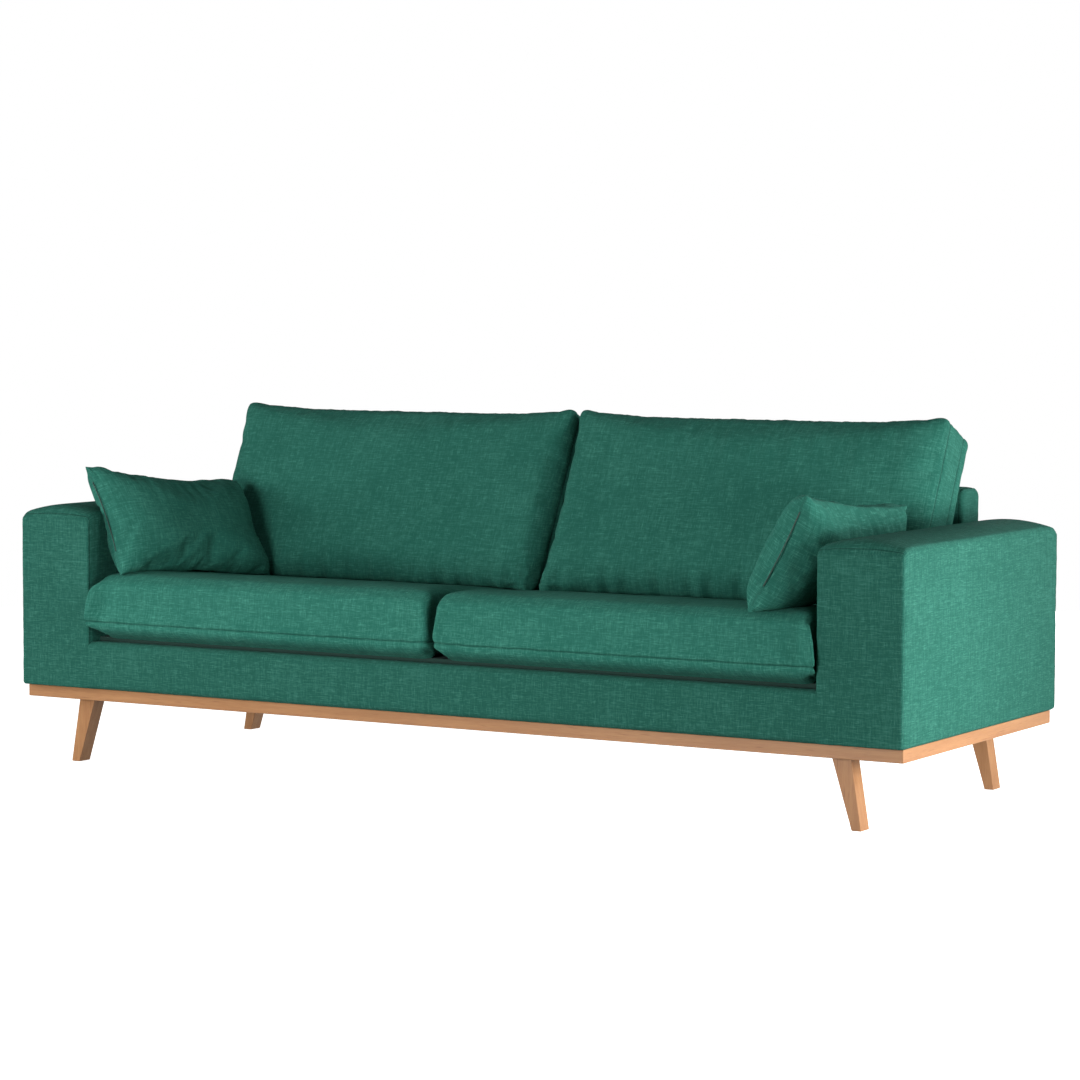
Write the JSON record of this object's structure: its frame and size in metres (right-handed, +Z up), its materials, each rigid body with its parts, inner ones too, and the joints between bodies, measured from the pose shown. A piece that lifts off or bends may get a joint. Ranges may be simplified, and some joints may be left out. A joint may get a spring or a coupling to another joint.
{
  "type": "sofa with wooden legs",
  "caption": "Upholstered sofa with square arms, loose seat and back cushions and lumbar pillows, on a wooden plinth with splayed tapered legs.",
  "frame": {"origin": "on the floor under the middle of the sofa", "axes": "+X to the right seen from the front, along the sofa's width; +Y from the front to the back; +Z up"},
  "size_m": [2.24, 0.82, 0.8251],
  "materials": {
    "upholstery": "matte",
    "cushion_fabric": "matte",
    "pillow_fabric": "matte",
    "pale_wood": "satin",
    "frame_wood": "matte",
    "steel": "satin",
    "webbing": "matte",
    "felt": "matte"
  },
  "bodies": {
    "sofa_frame": {"arm_bottom_board_left": "frame_wood", "arm_bottom_board_right": "frame_wood", "arm_cover_left": "upholstery", "arm_cover_right": "upholstery", "arm_front_post_left": "frame_wood", "arm_front_post_right": "frame_wood", "arm_rear_post_left": "frame_wood", "arm_rear_post_right": "frame_wood", "arm_top_board_left": "frame_wood", "arm_top_board_right": "frame_wood", "back_cover": "upholstery", "back_post_left": "frame_wood", "back_post_middle": "frame_wood", "back_post_right": "frame_wood", "back_rail_bottom": "frame_wood", "back_rail_top": "frame_wood", "back_webbing_1": "webbing", "back_webbing_2": "webbing", "back_webbing_3": "webbing", "back_webbing_4": "webbing", "deck_pad": "felt", "dust_cover": "felt", "front_border_cover": "upholstery", "leg_bolt_front_left": "steel", "leg_bolt_front_right": "steel", "leg_bolt_rear_left": "steel", "leg_bolt_rear_right": "steel", "leg_front_left": "pale_wood", "leg_front_right": "pale_wood", "leg_rear_left": "pale_wood", "leg_rear_right": "pale_wood", "plinth_board_front": "pale_wood", "plinth_board_left": "pale_wood", "plinth_board_rear": "pale_wood", "plinth_board_right": "pale_wood", "plinth_brace": "frame_wood", "seat_rail_front": "frame_wood", "seat_rail_left": "frame_wood", "seat_rail_middle": "frame_wood", "seat_rail_rear": "frame_wood", "seat_rail_right": "frame_wood", "seat_spring_1": "steel", "seat_spring_2": "steel", "seat_spring_3": "steel", "seat_spring_4": "steel", "seat_spring_5": "steel", "seat_spring_6": "steel", "seat_spring_7": "steel", "seat_spring_8": "steel", "tee_nut_front_left": "steel", "tee_nut_front_right": "steel", "tee_nut_rear_left": "steel", "tee_nut_rear_right": "steel"},
    "back_cushion_left": {"back_cushion_left": "cushion_fabric"},
    "back_cushion_right": {"back_cushion_right": "cushion_fabric"},
    "lumbar_pillow_left": {"lumbar_pillow_left": "pillow_fabric"},
    "lumbar_pillow_right": {"lumbar_pillow_right": "pillow_fabric"},
    "seat_cushion_left": {"seat_cushion_left": "cushion_fabric"},
    "seat_cushion_right": {"seat_cushion_right": "cushion_fabric"}
  },
  "joints": [
    {"name": "seat_cushion_left_pull", "type": "slide", "parent": "sofa_frame", "child": "seat_cushion_left", "axis": [0, -1, 0], "range_m": [0, 0.3]},
    {"name": "seat_cushion_right_pull", "type": "slide", "parent": "sofa_frame", "child": "seat_cushion_right", "axis": [0, -1, 0], "range_m": [0, 0.3]},
    {"name": "back_cushion_left_draw", "type": "slide", "parent": "sofa_frame", "child": "back_cushion_left", "axis": [0, 0.4384, 0.8988], "range_m": [0, 0.2]},
    {"name": "back_cushion_right_draw", "type": "slide", "parent": "sofa_frame", "child": "back_cushion_right", "axis": [0, 0.4384, 0.8988], "range_m": [0, 0.2]},
    {"name": "lumbar_pillow_left_lift", "type": "slide", "parent": "sofa_frame", "child": "lumbar_pillow_left", "axis": [0, 0, 1], "range_m": [0, 0.2]},
    {"name": "lumbar_pillow_right_lift", "type": "slide", "parent": "sofa_frame", "child": "lumbar_pillow_right", "axis": [0, 0, 1], "range_m": [0, 0.2]}
  ]
}
